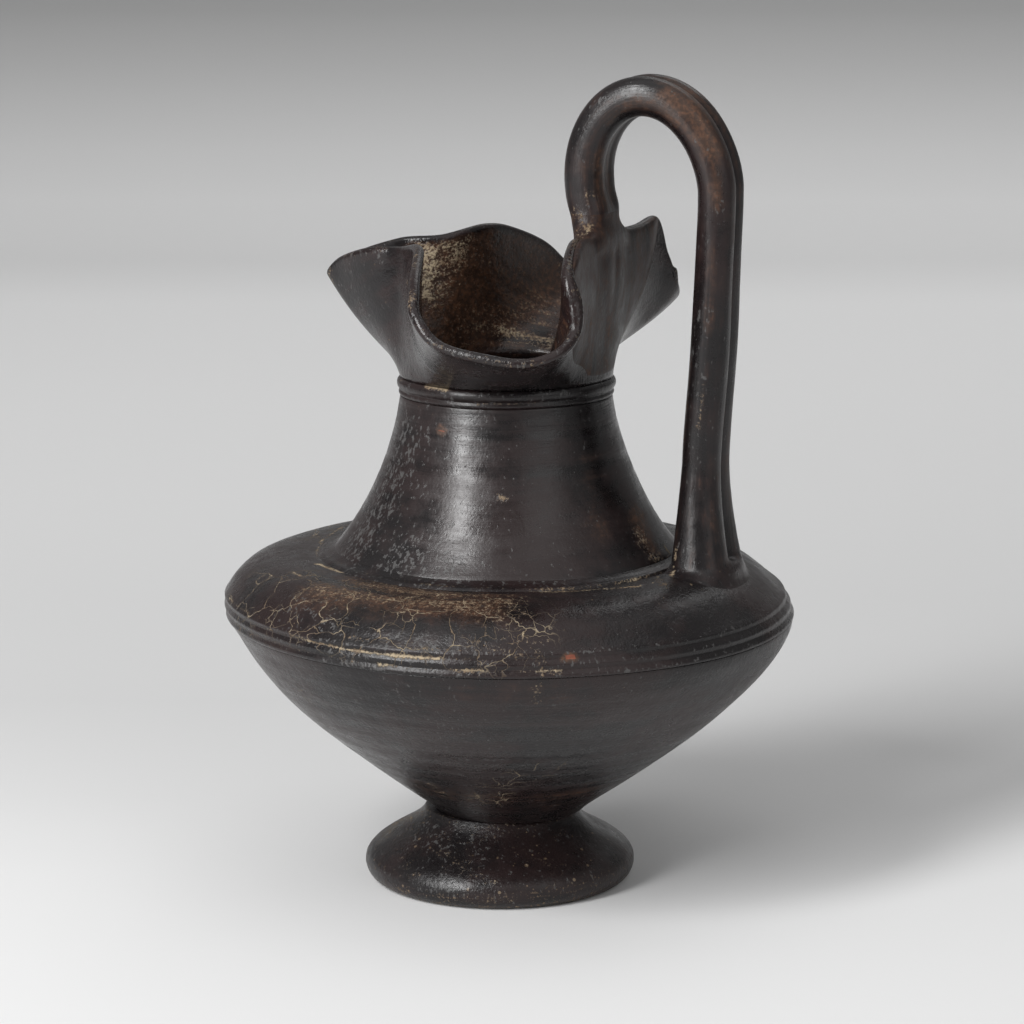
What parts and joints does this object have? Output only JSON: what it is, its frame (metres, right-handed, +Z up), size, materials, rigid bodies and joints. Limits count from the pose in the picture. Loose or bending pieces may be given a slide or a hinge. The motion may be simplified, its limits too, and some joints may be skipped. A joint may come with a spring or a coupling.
{
  "type": "oinochoe jug",
  "caption": "Black burnished pouring jug with a flaring trefoil mouth, collared neck, sharp-shouldered body, spreading foot and a high two-rod handle.",
  "frame": {"origin": "on the table, under the middle of the body", "axes": "+Z up; the spout points along -X and the handle stands on the +X side; mirrored across Y = 0"},
  "size_m": [0.2058, 0.2058, 0.2934],
  "materials": {
    "foot_clay": "burnished black, worn brown on the edge",
    "bowl_clay": "burnished near-black, satin",
    "shoulder_clay": "burnished black with tan hairline cracks and wear",
    "ring_clay": "burnished black, worn grey on the beads",
    "neck_clay": "burnished black with a silvery sheen",
    "mouth_clay": "burnished black outside, brown with buff deposit inside",
    "plate_clay": "burnished dark brown-black",
    "handle_clay": "burnished black worn to orange-brown on the bend"
  },
  "bodies": {
    "root": {"foot": "foot_clay", "bowl": "bowl_clay", "shoulder": "shoulder_clay", "neck_base_ring": "ring_clay", "neck": "neck_clay", "collar": "ring_clay", "mouth": "mouth_clay", "handle_plate": "plate_clay", "handle_root": "plate_clay", "rod_near": "handle_clay", "rod_far": "handle_clay", "handle_pad": "shoulder_clay"}
  },
  "joints": []
}
